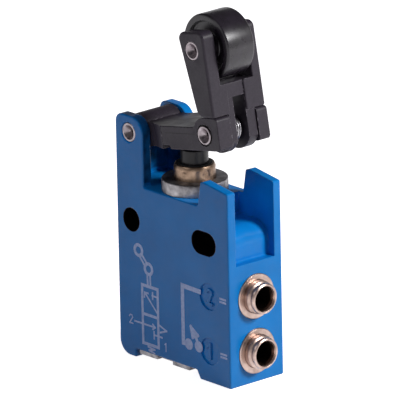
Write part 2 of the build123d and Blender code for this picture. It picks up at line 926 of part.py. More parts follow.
def arm_level():
    """The arm drawn with the lever level: two cheeks, a web and two legs on the pin."""
    front_in = slot_front + side_gap
    back_in = slot_back - side_gap
    arm = arm_cheek(arm_front, bore_front, arm_rim, arm_inner_rim)
    arm += arm_cheek(bore_back, arm_back, arm_inner_rim, arm_rim)
    arm += arm_shoulder(arm_front + arm_rim, arm_front + front_shoulder, 0, arm_inner_rim)
    arm += arm_shoulder(arm_back - back_shoulder, arm_back - arm_rim, arm_inner_rim, 0)
    web = [
        (arm_left(web_low) + 1, web_low, 0),
        (arm_right(web_low) - web_inset, web_low, 0),
        (arm_right(web_high) - web_inset, web_high, 0.3),
        (arm_left(web_high) + 1.5, web_high, 0),
        (arm_left(web_high) + 1.2, web_high + web_lip, 0),
        (arm_left(web_high) + web_inset, web_high + web_lip, 0.2),
    ]
    arm += plate(web, bore_front - arm_inner_rim, bore_back + arm_inner_rim)
    arm += arm_leg(front_in, front_in + front_leg)
    arm += arm_leg(back_in - back_leg, back_in)
    arm -= cross_rod(roller_radius + 0.35, wheel_x, wheel_z, bore_front, bore_back)
    arm -= cross_rod(trip_pin_radius + slide_gap, level_x, level_z, -1, case_depth + 1)
    arm -= cross_rod(roller_pin_radius + press_gap, wheel_x, wheel_z, -1, case_depth + 1)
    recess = rivet_head + press_gap
    arm -= cross_rod(recess, wheel_x, wheel_z, arm_front - 1, arm_front + rivet_head_height)
    arm -= cross_rod(recess, wheel_x, wheel_z, arm_back - rivet_head_height, arm_back + 1)
    return arm


def make_trip_arm():
    """The moulded arm, upright on the tilted lever."""
    return arm_level().rotate(Axis((pivot_x, 0, pivot_z), (0, 1, 0)), -lever_tilt)


def make_roller():
    """The moulded roller, with an annular recess in each face."""
    middle = (roller_front + roller_back) / 2
    half = roller_width / 2
    hub_half = (bore_back - bore_front) / 2 - seat_gap
    bore = roller_pin_radius + slide_gap
    profile = [
        (-hub_half, bore),
        (-hub_half, roller_hub),
        (-half + roller_groove, roller_groove_in),
        (-half + roller_groove, roller_groove_out - 0.1),
        (-half, roller_groove_out),
        (-half, roller_radius - roller_edge),
        (-half + roller_edge, roller_radius),
        (half - roller_edge, roller_radius),
        (half, roller_radius - roller_edge),
        (half, roller_groove_out),
        (half - roller_groove, roller_groove_out - 0.1),
        (half - roller_groove, roller_groove_in),
        (hub_half, roller_hub),
        (hub_half, bore),
    ]
    plane = Plane((roller_x, middle, roller_z), x_dir=(0, 1, 0), z_dir=(1, 0, 0))
    points = [plane.from_local_coords(Vector(along, radius, 0)) for along, radius in profile]
    face = Face(Wire.make_polygon(points, close=True))
    return Solid.revolve(face, 360, Axis((roller_x, middle, roller_z), (0, 1, 0)))


def make_roller_pin():
    """The hollow rivet that the roller turns on."""
    front = arm_front + press_gap
    back = arm_back - press_gap
    return hollow_rivet(roller_pin_radius, roller_x, roller_z, front, back, 0.95, rivet_head, 0.48)


pieces = {
    "body": make_body(),
    "lever_pivot_pin": make_lever_pivot_pin(),
    "gland_ring": make_gland_ring(),
    "plunger_bush": make_plunger_bush(),
    "plunger_wiper": make_plunger_wiper(),
    "plunger": make_plunger(),
    "plunger_seal": make_plunger_seal(),
    "plunger_guide": make_plunger_guide(),
    "guide_seal": make_guide_seal(),
    "return_spring": make_return_spring(),
    "valve_seat": make_valve_seat(),
    "poppet": make_poppet(),
    "poppet_disc": make_poppet_disc(),
    "poppet_spring": make_poppet_spring(),
    "bottom_plug": make_bottom_plug(),
    "bottom_plug_seal": make_bottom_plug_seal(),
    "retaining_plate": make_retaining_plate(),
    "plate_screws": make_plate_screws(),
    "lever": make_lever(),
    "trip_arm_pin": make_trip_arm_pin(),
    "trip_spring": make_trip_spring(),
    "trip_arm": make_trip_arm(),
    "roller": make_roller(),
    "roller_pin": make_roller_pin(),
}
for number, height in ((1, port_1_z), (2, port_2_z)):
    pieces[f"port_{number}_sleeve"] = make_port_sleeve(height)
    pieces[f"port_{number}_seal"] = make_port_seal(height)
    pieces[f"port_{number}_collet"] = make_port_collet(height)

os.makedirs("parts", exist_ok=True)
to_origin = Location((-hole_x, -mid_y, -hole_z))
for name, piece in pieces.items():
    export_step(piece.moved(to_origin), f"parts/{name}.step")
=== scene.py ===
"""Looks, light and camera of the roller-lever pneumatic valve."""

import math

import bpy
import numpy as np
from mathutils import Matrix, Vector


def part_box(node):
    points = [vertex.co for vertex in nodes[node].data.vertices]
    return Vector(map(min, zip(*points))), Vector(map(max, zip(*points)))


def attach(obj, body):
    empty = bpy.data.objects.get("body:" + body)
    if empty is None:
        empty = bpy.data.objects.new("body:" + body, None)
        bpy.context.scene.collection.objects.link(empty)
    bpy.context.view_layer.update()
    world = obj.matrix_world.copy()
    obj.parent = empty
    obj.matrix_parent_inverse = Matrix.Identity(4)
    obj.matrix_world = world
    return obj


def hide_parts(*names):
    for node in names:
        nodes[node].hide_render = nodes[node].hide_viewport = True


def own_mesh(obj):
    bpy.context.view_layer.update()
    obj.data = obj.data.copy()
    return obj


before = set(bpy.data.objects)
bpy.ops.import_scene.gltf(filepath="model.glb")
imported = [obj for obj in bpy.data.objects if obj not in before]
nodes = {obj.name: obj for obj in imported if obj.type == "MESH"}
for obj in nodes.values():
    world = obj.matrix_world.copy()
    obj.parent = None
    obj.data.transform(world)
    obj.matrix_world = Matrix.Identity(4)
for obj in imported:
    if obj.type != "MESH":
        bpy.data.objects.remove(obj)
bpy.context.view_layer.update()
scene = bpy.context.scene


# Camera. Fitted to the photograph: a long lens from the front right, a little above,
# turned about one degree about its own axis.
camera_place = (1.31777, -1.13877, 0.56066)
camera_right = (0.66171171, 0.74951329, -0.01916841)
camera_up = (-0.21689318, 0.2158331, 0.95203646)
camera_back = (0.71770116, -0.62581618, 0.30538362)
camera_data = bpy.data.cameras.new("camera")
camera_data.lens = 895.24
camera_data.sensor_width = 36
camera_data.clip_start = 0.05
camera_data.clip_end = 20
camera = bpy.data.objects.new("camera", camera_data)
camera.matrix_world = Matrix(
    [*zip(camera_right, camera_up, camera_back, camera_place), (0, 0, 0, 1)]
)
scene.collection.objects.link(camera)
scene.camera = camera


# World. Pale studio air: the valve sees an even, soft light, while the camera, metal and
# shiny faces see the white backdrop.
def linear(code):
    """An sRGB hex colour as linear red, green, blue and alpha."""
    channels = np.array([int(code[i : i + 2], 16) for i in (1, 3, 5)]) / 255
    low = channels / 12.92
    high = ((channels + 0.055) / 1.055) ** 2.4
    return (*np.where(channels <= 0.04045, low, high), 1)


def add_node(tree, kind, settings=None, inputs=None, links=None):
    """Add a shader node; links maps an input to the output that feeds it."""
    node = tree.nodes.new(kind)
    for name, value in (settings or {}).items():
        setattr(node, name, value)
    for name, value in (inputs or {}).items():
        node.inputs[name].default_value = value
    for name, source in (links or {}).items():
        tree.links.new(source, node.inputs[name])
    return node


scene.view_settings.view_transform = "Standard"
world = bpy.data.worlds.new("studio")
world.use_nodes = True
scene.world = world
tree = world.node_tree
tree.nodes.clear()
path = add_node(tree, "ShaderNodeLightPath")
shiny = add_node(
    tree,
    "ShaderNodeMath",
    {"operation": "MAXIMUM"},
    links={0: path.outputs["Is Glossy Ray"], 1: path.outputs["Is Transmission Ray"]},
)
direct = add_node(
    tree,
    "ShaderNodeMath",
    {"operation": "MAXIMUM"},
    links={0: path.outputs["Is Camera Ray"], 1: shiny.outputs[0]},
)
way = add_node(tree, "ShaderNodeTexCoord")
height = add_node(tree, "ShaderNodeSeparateXYZ", links={0: way.outputs["Generated"]})


def by_height(low, high, first, last):
    """A background colour that changes with the height of the direction looked in."""
    node = add_node(tree, "ShaderNodeValToRGB", links={"Fac": height.outputs["Z"]})
    node.color_ramp.elements[0].position = low
    node.color_ramp.elements[0].color = linear(first)
    node.color_ramp.elements[1].position = high
    node.color_ramp.elements[1].color = linear(last)
    return node


air = by_height(0.1, 0.5, "#EFE2FF", "#8A8492")
sweep = by_height(0.12, 0.3, "#FFFFFF", "#4A484C")
soft = add_node(
    tree, "ShaderNodeBackground", inputs={"Strength": 0.42}, links={"Color": air.outputs[0]}
)
white = add_node(
    tree, "ShaderNodeBackground", inputs={"Strength": 1}, links={"Color": sweep.outputs[0]}
)
seen = add_node(
    tree,
    "ShaderNodeMixShader",
    links={0: direct.outputs[0], 1: soft.outputs[0], 2: white.outputs[0]},
)
add_node(tree, "ShaderNodeOutputWorld", links={"Surface": seen.outputs[0]})


# Floor. A sheet of white paper that keeps the valve's soft shadow.
def grid_object(name, points, wrap_rows, wrap_columns, material, smooth=True):
    """A surface through a grid of points (rows, columns, xyz), its faces turned outwards.

    Neighbouring points in the grid share a quad, and a wrapped direction joins its last
    line to its first. When the enclosed volume comes out negative the quads are reversed.
    """
    rows, columns = points.shape[:2]
    index = np.arange(rows * columns).reshape(rows, columns)
    if wrap_rows:
        index = np.vstack([index, index[:1]])
    if wrap_columns:
        index = np.hstack([index, index[:, :1]])
    corners = (index[:-1, :-1], index[1:, :-1], index[1:, 1:], index[:-1, 1:])
    quads = np.stack([part.ravel() for part in corners], 1)
    flat = points.reshape(-1, 3)
    a, b, c, d = (flat[quads[:, i]] for i in range(4))
    if wrap_rows and (np.cross(b - a, d - a) * (a - flat.mean(0))).sum() < 0:
        quads = quads[:, ::-1]
    mesh = bpy.data.meshes.new(name)
    mesh.from_pydata(flat.tolist(), [], quads.tolist())
    mesh.polygons.foreach_set("use_smooth", np.full(len(quads), smooth))
    mesh.materials.append(material)
    mesh.update()
    new = bpy.data.objects.new(name, mesh)
    scene.collection.objects.link(new)
    return new


paper = bpy.data.materials.new("white_paper")
paper.use_nodes = True
tree = paper.node_tree
tree.nodes.clear()
path = add_node(tree, "ShaderNodeLightPath")
shiny = add_node(
    tree,
    "ShaderNodeMath",
    {"operation": "MAXIMUM"},
    links={0: path.outputs["Is Glossy Ray"], 1: path.outputs["Is Transmission Ray"]},
)
direct = add_node(
    tree,
    "ShaderNodeMath",
    {"operation": "MAXIMUM"},
    links={0: path.outputs["Is Camera Ray"], 1: shiny.outputs[0]},
)
grain = add_node(tree, "ShaderNodeTexNoise", inputs={"Scale": 900, "Detail": 4})
fibre = add_node(
    tree, "ShaderNodeBump", inputs={"Strength": 0.1, "Distance": 0.0001}, links={"Height": grain.outputs[0]}
)
matt = add_node(
    tree, "ShaderNodeBsdfDiffuse", inputs={"Color": linear("#FFFFFF")}, links={"Normal": fibre.outputs[0]}
)
dull = add_node(tree, "ShaderNodeBsdfDiffuse", inputs={"Color": linear("#9C9C9C")})
glow = add_node(tree, "ShaderNodeEmission", inputs={"Color": linear("#FFFFFF"), "Strength": 0.84})
both = add_node(tree, "ShaderNodeAddShader", links={0: matt.outputs[0], 1: glow.outputs[0]})
seen = add_node(
    tree,
    "ShaderNodeMixShader",
    links={0: direct.outputs[0], 1: dull.outputs[0], 2: both.outputs[0]},
)
add_node(tree, "ShaderNodeOutputMaterial", links={"Surface": seen.outputs[0]})
floor_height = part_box("body")[0][2]
floor_side = np.linspace(-1.5, 1.5, 5)
across, along = np.meshgrid(floor_side, floor_side)
floor_points = np.stack([across, along, np.full_like(across, floor_height)], 2)
floor = grid_object("floor", floor_points, False, False, paper)


# Lamps. A small soft box stands at the right, a little behind the valve and above it. It
# lights the end face and the roller's tread, and the lever's head shades the near ear. A
# weak one in front and above opens the ear's front and the arm.
def panel(name, place, target, size, power):
    """A square area lamp at a place, facing a target."""
    data = bpy.data.lights.new(name, "AREA")
    data.size = size
    data.energy = power
    lamp = bpy.data.objects.new(name, data)
    away = np.array(place, float) - np.array(target, float)
    away /= np.linalg.norm(away)
    side = np.cross((0, 0, 1), away)
    side /= np.linalg.norm(side)
    lamp.matrix_world = Matrix([*zip(side, np.cross(away, side), away, place), (0, 0, 0, 1)])
    scene.collection.objects.link(lamp)


panel("key", (0.522, 0.272, 0.37), (0.012, 0, 0.01), 0.15, 4.3)
panel("fill", (-0.02, -0.20, 0.16), (0.005, 0, 0.01), 0.10, 0.08)


# Case. A zinc die casting under blue stoving enamel: satin gloss, a trace of orange peel,
# a slightly cloudy tone, and edges where the paint has drawn back. Painted shade darkens
# the walls of the mounting holes and the gap between the ears.
def new_tree(name):
    """A named material with an empty node tree."""
    material = bpy.data.materials.new(name)
    material.use_nodes = True
    material.node_tree.nodes.clear()
    return material, material.node_tree


def finish_tree(tree, inputs, links):
    """Add the surface shader and the output."""
    surface = add_node(tree, "ShaderNodeBsdfPrincipled", inputs=inputs, links=links)
    add_node(tree, "ShaderNodeOutputMaterial", links={"Surface": surface.outputs[0]})


def noise(tree, place, scale, detail=3.0, stretch=None):
    """Noise over a place, drawn out by stretch; scale counts its waves in a metre."""
    source = place.outputs["Object"]
    if stretch:
        mapping = add_node(tree, "ShaderNodeMapping", inputs={"Scale": stretch}, links={"Vector": source})
        source = mapping.outputs[0]
    return add_node(
        tree, "ShaderNodeTexNoise", inputs={"Scale": scale, "Detail": detail}, links={"Vector": source}
    )


def ramp(tree, source, low, high, first, last):
    """Two colours over a span of a grey value."""
    node = add_node(tree, "ShaderNodeValToRGB", links={"Fac": source.outputs["Fac"]})
    node.color_ramp.elements[0].position = low
    node.color_ramp.elements[0].color = first
    node.color_ramp.elements[1].position = high
    node.color_ramp.elements[1].color = last
    return node


def grey(level):
    """A grey as a colour, for roughness and masks."""
    return (level, level, level, 1)


def bumps(tree, source, strength, depth, before=None):
    """Relief from a grey value; depth is in metres."""
    links = {"Height": source.outputs["Fac"]}
    if before:
        links["Normal"] = before.outputs[0]
    return add_node(tree, "ShaderNodeBump", inputs={"Strength": strength, "Distance": depth}, links=links)


blue_enamel, tree = new_tree("blue_enamel_on_zinc")
place = add_node(tree, "ShaderNodeTexCoord")
cloud = noise(tree, place, 140, 4)
tone = ramp(tree, cloud, 0.3, 0.7, linear("#0778C4"), linear("#0A84D4"))
gloss = ramp(tree, noise(tree, place, 420, 5), 0.35, 0.7, grey(0.16), grey(0.25))
edge = add_node(tree, "ShaderNodeBevel", {"samples": 6}, inputs={"Radius": 0.00022})
spot = add_node(tree, "ShaderNodeSeparateXYZ", links={0: place.outputs["Object"]})


def bore_shade_mask(along, half):
    """One inside a bore along Y, round or drawn out to either side of its middle."""
    offset = add_node(
        tree, "ShaderNodeMath", {"operation": "SUBTRACT"}, {1: along}, {0: spot.outputs["X"]}
    )
    aside = add_node(tree, "ShaderNodeMath", {"operation": "ABSOLUTE"}, links={0: offset.outputs[0]})
    past = add_node(tree, "ShaderNodeMath", {"operation": "SUBTRACT"}, {1: half}, {0: aside.outputs[0]})
    held = add_node(tree, "ShaderNodeMath", {"operation": "MAXIMUM"}, {1: 0.0}, {0: past.outputs[0]})
    flat = add_node(
        tree, "ShaderNodeCombineXYZ", links={"X": held.outputs[0], "Z": spot.outputs["Z"]}
    )
    far = add_node(tree, "ShaderNodeVectorMath", {"operation": "LENGTH"}, links={0: flat.outputs[0]})
    return add_node(
        tree, "ShaderNodeMath", {"operation": "LESS_THAN"}, {1: 0.00231}, {0: far.outputs["Value"]}
    )


# Painted shade: the walls of the round and the slotted mounting hole are coloured near black.
bores = add_node(
    tree,
    "ShaderNodeMath",
    {"operation": "MAXIMUM"},
    links={0: bore_shade_mask(0.0, 0.0).outputs[0], 1: bore_shade_mask(0.020, 0.00105).outputs[0]},
)
tone_with_bore_shade = add_node(
    tree,
    "ShaderNodeMix",
    {"data_type": "RGBA"},
    {"B": linear("#08090B")},
    {"Factor": bores.outputs[0], "A": tone.outputs[0]},
)


def between(axis, low, high, soft):
    """One between two places on an axis of the case, in metres, with soft ends."""
    up = add_node(
        tree,
        "ShaderNodeMapRange",
        inputs={"From Min": low - soft, "From Max": low},
        links={"Value": spot.outputs[axis]},
    )
    down = add_node(
        tree,
        "ShaderNodeMapRange",
        inputs={"From Min": high + soft, "From Max": high},
        links={"Value": spot.outputs[axis]},
    )
    return add_node(
        tree, "ShaderNodeMath", {"operation": "MULTIPLY"}, links={0: up.outputs[0], 1: down.outputs[0]}
    )


# Painted shade: a patchy dark blue over the enamel in the gap between the ears, under the lever.
patchy_ear_shade = ramp(tree, noise(tree, place, 260, 5), 0.3, 0.62, grey(1), grey(0.35))
ear_gap_shade = patchy_ear_shade
for axis, low, high in (("X", -0.0027, 0.0037), ("Y", -0.0060, 0.00452), ("Z", 0.0078, 0.03)):
    ear_gap_shade = add_node(
        tree,
        "ShaderNodeMath",
        {"operation": "MULTIPLY"},
        links={0: ear_gap_shade.outputs[0], 1: between(axis, low, high, 0.0004).outputs[0]},
    )
tone_with_ear_gap_shade = add_node(
    tree,
    "ShaderNodeMix",
    {"data_type": "RGBA"},
    {"B": linear("#0C141F")},
    {"Factor": ear_gap_shade.outputs[0], "A": tone_with_bore_shade.outputs["Result"]},
)
peel = bumps(tree, noise(tree, place, 1500, 2), 0.10, 0.00006, edge)
grain = bumps(tree, noise(tree, place, 5200, 2), 0.06, 0.00002, peel)
finish_tree(
    tree,
    {"Specular IOR Level": 0.2},
    {"Base Color": tone_with_ear_gap_shade.outputs["Result"], "Roughness": gloss.outputs[0], "Normal": grain.outputs[0]},
)


# Lever and trip arm. Glass-filled black polyamide: a dark, slightly violet grey with the
# fine grain of a spark-eroded mould, and paler specks on its edges that are partly rub marks
# and partly painted highlight for the glints there.
black_polyamide, tree = new_tree("black_glass_filled_polyamide")
place = add_node(tree, "ShaderNodeTexCoord")
speck = noise(tree, place, 2400, 4)
tone = ramp(tree, speck, 0.32, 0.72, linear("#29242C"), linear("#332D37"))
gloss = ramp(tree, noise(tree, place, 300, 5), 0.35, 0.7, grey(0.40), grey(0.56))
edge = add_node(tree, "ShaderNodeBevel", {"samples": 6}, inputs={"Radius": 0.00015})
wave = bumps(tree, noise(tree, place, 260, 3), 0.12, 0.00015, edge)
grain = bumps(tree, speck, 0.16, 0.00004, wave)
wide = add_node(tree, "ShaderNodeBevel", {"samples": 6}, inputs={"Radius": 0.0003})
facing = add_node(tree, "ShaderNodeNewGeometry")
same = add_node(
    tree,
    "ShaderNodeVectorMath",
    {"operation": "DOT_PRODUCT"},
    links={0: wide.outputs[0], 1: facing.outputs["Normal"]},
)
turned = add_node(
    tree,
    "ShaderNodeMapRange",
    inputs={"From Min": 0.995, "From Max": 0.86},
    links={"Value": same.outputs["Value"]},
)
# Paler specks on the edges: partly rub wear, partly painted highlight standing for edge glints.
scuff_and_glint = ramp(tree, noise(tree, place, 1300, 6), 0.5, 0.6, grey(0), grey(1))
wear_and_glint = add_node(
    tree, "ShaderNodeMath", {"operation": "MULTIPLY"}, links={0: turned.outputs[0], 1: scuff_and_glint.outputs[0]}
)
rubbed_and_glinting = add_node(
    tree,
    "ShaderNodeMix",
    {"data_type": "RGBA"},
    {"B": linear("#8C878E")},
    {"Factor": wear_and_glint.outputs[0], "A": tone.outputs[0]},
)
finish_tree(
    tree,
    {"Specular IOR Level": 0.28},
    {"Base Color": rubbed_and_glinting.outputs["Result"], "Roughness": gloss.outputs[0], "Normal": grain.outputs[0]},
)


# Metals. Each has its own tone, with fine marks drawn out around the piece's axis and
# cloudy patches where fingers and cams have worn it.
# Painted shade: inside the port bores the nickel tone turns dark brown, standing for the shade there.
def port_bore_shade_mask(tree, place):
    """One inside the tube bores of the two ports, which lie either side of one height."""
    low, high = (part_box(f"port_{number}_sleeve") for number in (1, 2))
    low, high = (box[0][2] + box[1][2] for box in (low, high))
    spot = add_node(tree, "ShaderNodeSeparateXYZ", links={0: place.outputs["Object"]})
    height = add_node(
        tree, "ShaderNodeMath", {"operation": "SUBTRACT"}, {1: (low + high) / 4}, {0: spot.outputs["Z"]}
    )
    aside = add_node(tree, "ShaderNodeMath", {"operation": "ABSOLUTE"}, links={0: height.outputs[0]})
    past = add_node(
        tree, "ShaderNodeMath", {"operation": "SUBTRACT"}, {1: abs(high - low) / 4}, {0: aside.outputs[0]}
    )
    flat = add_node(tree, "ShaderNodeCombineXYZ", links={"Y": spot.outputs["Y"], "Z": past.outputs[0]})
    far = add_node(tree, "ShaderNodeVectorMath", {"operation": "LENGTH"}, links={0: flat.outputs[0]})
    return add_node(
        tree, "ShaderNodeMath", {"operation": "LESS_THAN"}, {1: 0.00226}, {0: far.outputs["Value"]}
    )


def metal(name, pale, deep, rough, stretch, mark_scale, shade_bores=False):
    """Bare or plated metal with turning marks; stretch is long across the marks."""
    material, tree = new_tree(name)
    place = add_node(tree, "ShaderNodeTexCoord")
    tone = ramp(tree, noise(tree, place, 620, 5), 0.32, 0.7, linear(deep), linear(pale))
    # Painted shade inside the port bores.
    if shade_bores:
        tone = add_node(
            tree,
            "ShaderNodeMix",
            {"data_type": "RGBA"},
            {"B": linear("#54423A")},
            {"Factor": port_bore_shade_mask(tree, place).outputs[0], "A": tone.outputs[0]},
        )
    gloss = ramp(tree, noise(tree, place, 1400, 4), 0.3, 0.75, grey(rough), grey(rough + 0.16))
    edge = add_node(tree, "ShaderNodeBevel", {"samples": 6}, inputs={"Radius": 0.00008})
    marks = bumps(tree, noise(tree, place, mark_scale, 3, stretch), 0.22, 0.00003, edge)
    finish_tree(
        tree,
        {"Metallic": 1.0},
        {
            "Base Color": tone.outputs["Result" if shade_bores else "Color"],
            "Roughness": gloss.outputs[0],
            "Normal": marks.outputs[0],
        },
    )
    return material


pin_steel = metal("drawn_pin_steel", "#ABA2A5", "#7C7478", 0.26, (1, 0.2, 1), 900)
dull_nickel = metal("dull_nickel_plate", "#A9A6A8", "#5A5759", 0.40, (1, 1, 1), 2600)
warm_nickel = metal("nickel_on_brass", "#C6AFA4", "#9A857C", 0.27, (1, 0.12, 0.12), 3600, True)
turned_brass = metal("turned_brass", "#A08874", "#6E5A4B", 0.28, (0.1, 0.1, 1), 3600)
spring_wire = metal("spring_wire", "#B5B3B6", "#8B898D", 0.25, (1, 1, 1), 1500)


# Roller. Turned black acetal, smoother and darker than the lever, with hair-fine rings
# that the lathe left round its tread.
black_acetal, tree = new_tree("black_acetal")
place = add_node(tree, "ShaderNodeTexCoord")
tone = ramp(tree, noise(tree, place, 500, 4), 0.3, 0.7, linear("#1B181C"), linear("#27222A"))
gloss = ramp(tree, noise(tree, place, 900, 4), 0.3, 0.7, grey(0.26), grey(0.34))
edge = add_node(tree, "ShaderNodeBevel", {"samples": 6}, inputs={"Radius": 0.0001})
rings = bumps(tree, noise(tree, place, 3000, 3, (0.06, 1, 0.06)), 0.14, 0.00003, edge)
finish_tree(
    tree,
    {"Specular IOR Level": 0.45},
    {"Base Color": tone.outputs[0], "Roughness": gloss.outputs[0], "Normal": rings.outputs[0]},
)


# Rubber and the plunger's plastic. Matt nitrile with a bloom, and glossy black polyamide
# that the bush keeps polished.
def soft_black(name, pale, deep, rough):
    """A black moulding with a dusty bloom."""
    material, tree = new_tree(name)
    place = add_node(tree, "ShaderNodeTexCoord")
    tone = ramp(tree, noise(tree, place, 700, 5), 0.35, 0.75, linear(deep), linear(pale))
    edge = add_node(tree, "ShaderNodeBevel", {"samples": 4}, inputs={"Radius": 0.0001})
    grain = bumps(tree, noise(tree, place, 2800, 3), 0.15, 0.00003, edge)
    finish_tree(
        tree,
        {"Roughness": rough, "Specular IOR Level": 0.3},
        {"Base Color": tone.outputs[0], "Normal": grain.outputs[0]},
    )
    return material


nitrile = soft_black("nitrile_rubber", "#262626", "#161616", 0.62)
plunger_black = soft_black("polished_polyamide", "#201E1F", "#141313", 0.38)
by_slot = {
    "blue_case": blue_enamel,
    "lever_plastic": black_polyamide,
    "roller_plastic": black_acetal,
    "plunger_plastic": plunger_black,
    "seal_rubber": nitrile,
    "pin_steel": pin_steel,
    "nickel_plate": dull_nickel,
    "port_nickel": warm_nickel,
    "bush_brass": turned_brass,
    "spring_steel": spring_wire,
}
for node in nodes.values():
    for part in node.material_slots:
        part.material = by_slot[part.material.name.split(".")[0]]


# Pins. Three hollow steel pins, spun over at both ends into a smooth rolled lip with a
# funnel inside it; they hold the lever, the trip arm and the roller.
def rounded(corners, steps=5):
    """A closed profile whose corners (along, radius, rounding) turn through arcs.

    Each corner becomes an arc that leaves the two straight lines at the rounding times
    the tangent of half the turn, so its radius is the rounding.
    """
    points = []
    for i, (along, radius, size) in enumerate(corners):
        here = np.array((along, radius), float)
        before = np.array(corners[i - 1][:2], float) - here
        after = np.array(corners[(i + 1) % len(corners)][:2], float) - here
        before /= np.linalg.norm(before)
        after /= np.linalg.norm(after)
        half = math.acos(np.clip(before @ after, -1, 1)) / 2
        if size == 0 or half > 1.55:
            points.append(here)
            continue
        middle = here + (before + after) / np.linalg.norm(before + after) * size / math.sin(half)
        start = here + before * size / math.tan(half) - middle
        end = here + after * size / math.tan(half) - middle
        turn = math.atan2(start[0] * end[1] - start[1] * end[0], start @ end)
        angles = np.linspace(0, turn, steps)
        points += [
            middle + np.array((c * start[0] - s * start[1], s * start[0] + c * start[1]))
            for c, s in zip(np.cos(angles), np.sin(angles))
        ]
    return np.array(points)


def lathe(name, corners, centre, axis, material, turns=96, dent=None, steps=5):
    """A turned piece: the profile in millimetres swept round an axis through a centre.

    A point sits at the centre, plus its distance along the axis, plus its radius times
    the direction at each angle. dent(along, radius, angle) shifts the radius.
    """
    profile = rounded(corners, steps)
    angle = np.linspace(0, 2 * math.pi, turns, endpoint=False)
    along = np.repeat(profile[:, :1], turns, 1)
    radius = np.repeat(profile[:, 1:], turns, 1)
    if dent:
        radius = radius + dent(along, radius, angle[None, :])
    axis = np.array(axis, float)
    first = np.array((1, 0, 0)) if axis[0] == 0 else np.array((0, 1, 0))
    second = np.cross(axis, first)
    points = (
        along[..., None] * axis
        + (radius * np.cos(angle))[..., None] * first
        + (radius * np.sin(angle))[..., None] * second
    )
    points = points / 1000 + np.array(centre, float)
    new = grid_object(name, points, True, True, material)
    return outward(new)


def outward(new):
    """Reverse a closed mesh's faces when its enclosed volume is negative."""
    mesh = new.data
    points = np.array([v.co for v in mesh.vertices])
    quads = np.array([face.vertices[:] for face in mesh.polygons])
    a, b, c, d = (points[quads[:, i]] for i in range(4))
    volume = (np.cross(b - a, c - a) * a).sum() + (np.cross(c - a, d - a) * a).sum()
    if volume < 0:
        mesh.flip_normals()
    return new


def hollow_pin(node, body, head, shank, bore, mouth, lip):
    """A spun hollow pin in the place of a CAD node whose axis runs along Y."""
    low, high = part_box(node)
    length = (high[1] - low[1]) * 1000
    half = [
        (0, mouth, lip * 0.7),
        (0, head, lip),
        (0.5, head, 0.1),
        (0.5, shank, 0),
    ]
    far = [(length - along, radius, size) for along, radius, size in reversed(half)]
    inside = [(length - 1.2, bore, 0.4), (1.2, bore, 0.4)]
    corners = half + far + inside if head > shank else [*half[:2], *far[2:], *inside]
    centre = ((low[0] + high[0]) / 2, low[1], (low[2] + high[2]) / 2)
    new = lathe(name=f"{node}_spun", corners=corners, centre=centre, axis=(0, 1, 0), material=pin_steel)
    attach(new, body)
    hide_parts(node)


hollow_pin("lever_pivot_pin", "case", 1.8, 1.8, 0.5, 1.4, 0.16)
hollow_pin("trip_arm_pin", "lever", 1.75, 1.2, 0.5, 1.42, 0.16)
hollow_pin("roller_pin", "trip_arm", 1.75, 1.5, 0.5, 1.42, 0.16)


# Counterbore shade. The trip arm's pin turns in a shallow counterbore in the lever's front ear,
# and a thin near-black ring on the floor of the gap round its head is painted shade.
counterbore_shade = soft_black("painted_counterbore_shade", "#0F0E0F", "#070707", 0.5)
low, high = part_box("trip_arm_pin")
floor_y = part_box("lever")[0][1] * 1000 + 0.3
counterbore_shade_ring = lathe(
    "pin_counterbore_shade",
    [
        (floor_y - 0.12, 1.77, 0),
        (floor_y - 0.08, 2.03, 0),
        (floor_y - 0.02, 2.03, 0),
        (floor_y - 0.02, 1.77, 0),
    ],
    ((low[0] + high[0]) / 2, 0, (low[2] + high[2]) / 2),
    (0, 1, 0),
    counterbore_shade,
    turns=64,
)
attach(counterbore_shade_ring, "lever")


# Gland ring. Dull nickel on a screwed brass ring, its outer edge broken with a file and
# its side left as it came from the bar.
stem_x = (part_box("plunger_bush")[0][0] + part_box("plunger_bush")[1][0]) / 2
ring_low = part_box("gland_ring")[0][2] * 1000
ring_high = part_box("gland_ring")[1][2] * 1000
wall_top = ring_high - 2.4
ring = lathe(
    "gland_ring_turned",
    [
        (ring_low, 3.22, 0),
        (ring_low, 4.38, 0.1),
        (wall_top, 4.38, 0),
        (wall_top, 6.15, 0.1),
        (ring_high, 6.15, 0.28),
        (ring_high, 3.92, 0.05),
        (ring_high - 0.2, 3.92, 0),
        (ring_high - 0.2, 3.22, 0),
    ],
    (stem_x, 0, 0),
    (0, 0, 1),
    dull_nickel,
    turns=144,
)
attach(ring, "case")
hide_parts("gland_ring")


# Bush. Turned brass, thinly nickelled, with six punch marks round its shoulder where it
# was staked into the ring, and a lip closed over the wiper.
bush_seat = ring_high - 0.2
bush_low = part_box("plunger_bush")[0][2] * 1000
bush_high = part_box("plunger_bush")[1][2] * 1000


def stakes(along, radius, angle):
    """Round dents: the radius falls as a bell curve of the distance to each mark."""
    marks = np.radians(-72 + 60 * np.arange(6))
    gap = (angle[..., None] - marks + math.pi) % (2 * math.pi) - math.pi
    span = (gap * radius[..., None]) ** 2 + (along[..., None] - bush_seat - 1.55) ** 2
    return np.where(radius > 3.5, -0.16 * np.exp(-span / 0.2).sum(-1), 0)


side = [(bush_seat + 0.15 + 0.12 * i, 3.9, 0) for i in range(18)]
bush = lathe(
    "plunger_bush_turned",
    [
        (bush_low, 2.65, 0),
        (bush_low, 3.2, 0.1),
        (bush_seat, 3.2, 0),
        (bush_seat, 3.9, 0.1),
        *side,
        (bush_seat + 2.35, 3.9, 0),
        (bush_high, 3.62, 0.22),
        (bush_high, 3.25, 0.08),
        (bush_high - 0.8, 3.25, 0),
        (bush_high - 0.8, 2.65, 0),
    ],
    (stem_x, 0, 0),
    (0, 0, 1),
    turned_brass,
    turns=216,
    dent=stakes,
)
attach(bush, "case")
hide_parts("plunger_bush")


